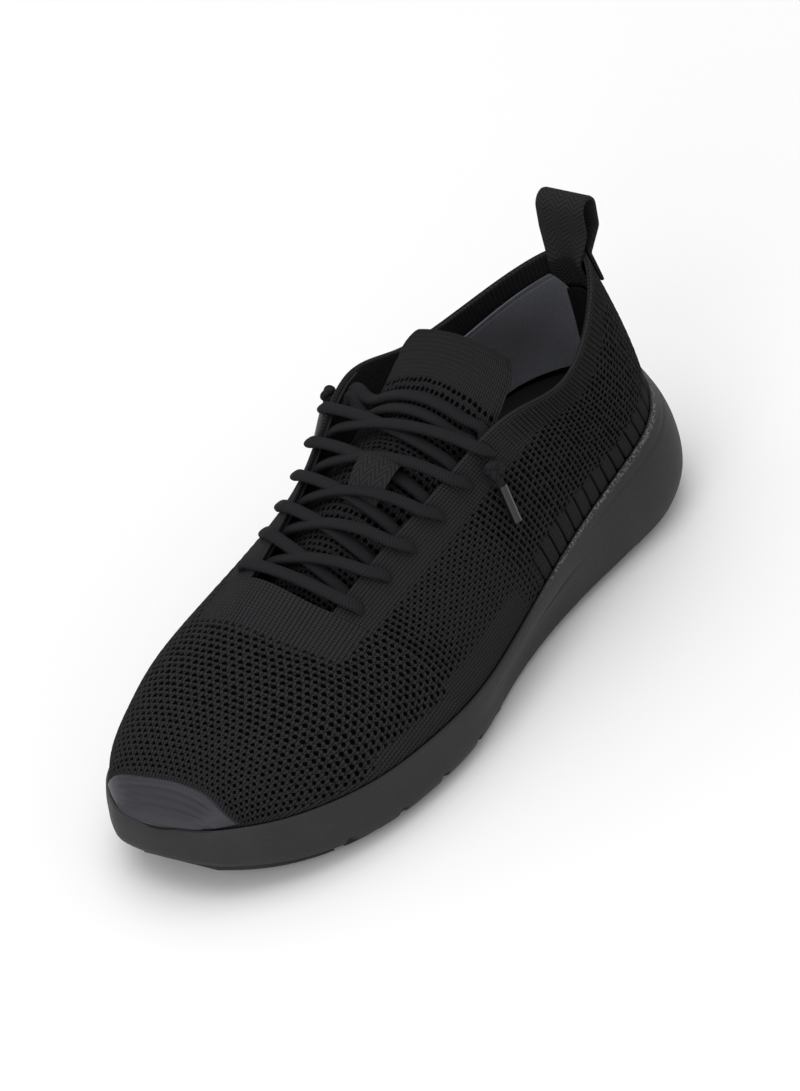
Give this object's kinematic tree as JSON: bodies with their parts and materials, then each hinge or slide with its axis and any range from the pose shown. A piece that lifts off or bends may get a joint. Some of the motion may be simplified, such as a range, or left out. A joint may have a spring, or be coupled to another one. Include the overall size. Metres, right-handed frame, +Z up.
{
  "type": "running shoe",
  "caption": "Left running shoe: knit upper with a sock-like collar, separate tongue, lacing, heel pull tab, and a cupped foam sole with rubber tread.",
  "frame": {"origin": "on the ground under the middle of the shoe's bounding box", "axes": "+Z up, -Y towards the toe, +X towards the outer (lateral) side of this left shoe"},
  "size_m": [0.1032, 0.2918, 0.1075],
  "materials": {
    "sole_foam": "matte moulded foam",
    "tread_rubber": "matte rubber",
    "bumper_rubber": "satin rubber film",
    "knit": "openwork knit",
    "tongue_knit": "openwork knit",
    "lining": "microfibre",
    "board": "stitched fibre board",
    "stiffener": "thermoformed sheet",
    "backing": "bonded film",
    "insole_foam": "open-cell foam",
    "insole_cover": "brushed textile",
    "lace": "woven braid",
    "webbing": "herringbone webbing",
    "aglet": "glossy sheath"
  },
  "bodies": {
    "shoe": {"midsole": "sole_foam", "toe_bumper": "bumper_rubber", "forefoot_tread": "tread_rubber", "heel_tread": "tread_rubber", "strobel_board": "board", "insole_foam": "insole_foam", "insole_cover": "insole_cover", "knit_upper": "knit", "toe_puff": "stiffener", "heel_counter": "stiffener", "heel_lining_lateral": "lining", "heel_lining_medial": "lining", "heel_tape": "lining", "eyestay_backing_lateral": "backing", "eyestay_backing_medial": "backing", "tongue": "tongue_knit", "lace_keeper": "webbing", "lace": "lace", "lace_knot_lateral": "lace", "lace_knot_medial": "lace", "pull_tab_anchor": "webbing"},
    "tongue_top": {"tongue_flap": "tongue_knit"},
    "pull_loop": {"pull_tab": "webbing"},
    "lace_end_lateral": {"lace_tail_lateral": "lace", "aglet_lateral": "aglet"},
    "lace_end_medial": {"lace_tail_medial": "lace", "aglet_medial": "aglet"}
  },
  "joints": [
    {"name": "tongue_fold", "type": "hinge", "parent": "shoe", "child": "tongue_top", "pos_m": [0.00276, 0.03087, 0.0919], "axis": [1, 0, 0], "range_deg": [-8, 30], "stiffness_Nm_per_rad": 0.05},
    {"name": "tab_fold", "type": "hinge", "parent": "shoe", "child": "pull_loop", "pos_m": [-0.00557, 0.1341, 0.0894], "axis": [1, 0, 0], "range_deg": [-30, 30], "stiffness_Nm_per_rad": 0.02},
    {"name": "lace_swing_lateral", "type": "hinge", "parent": "shoe", "child": "lace_end_lateral", "pos_m": [0.03467, 0.01743, 0.0766], "axis": [1, 0, 0], "range_deg": [-35, 35]},
    {"name": "lace_swing_medial", "type": "hinge", "parent": "shoe", "child": "lace_end_medial", "pos_m": [-0.03947, 0.02986, 0.08249], "axis": [1, 0, 0], "range_deg": [-35, 35]}
  ]
}
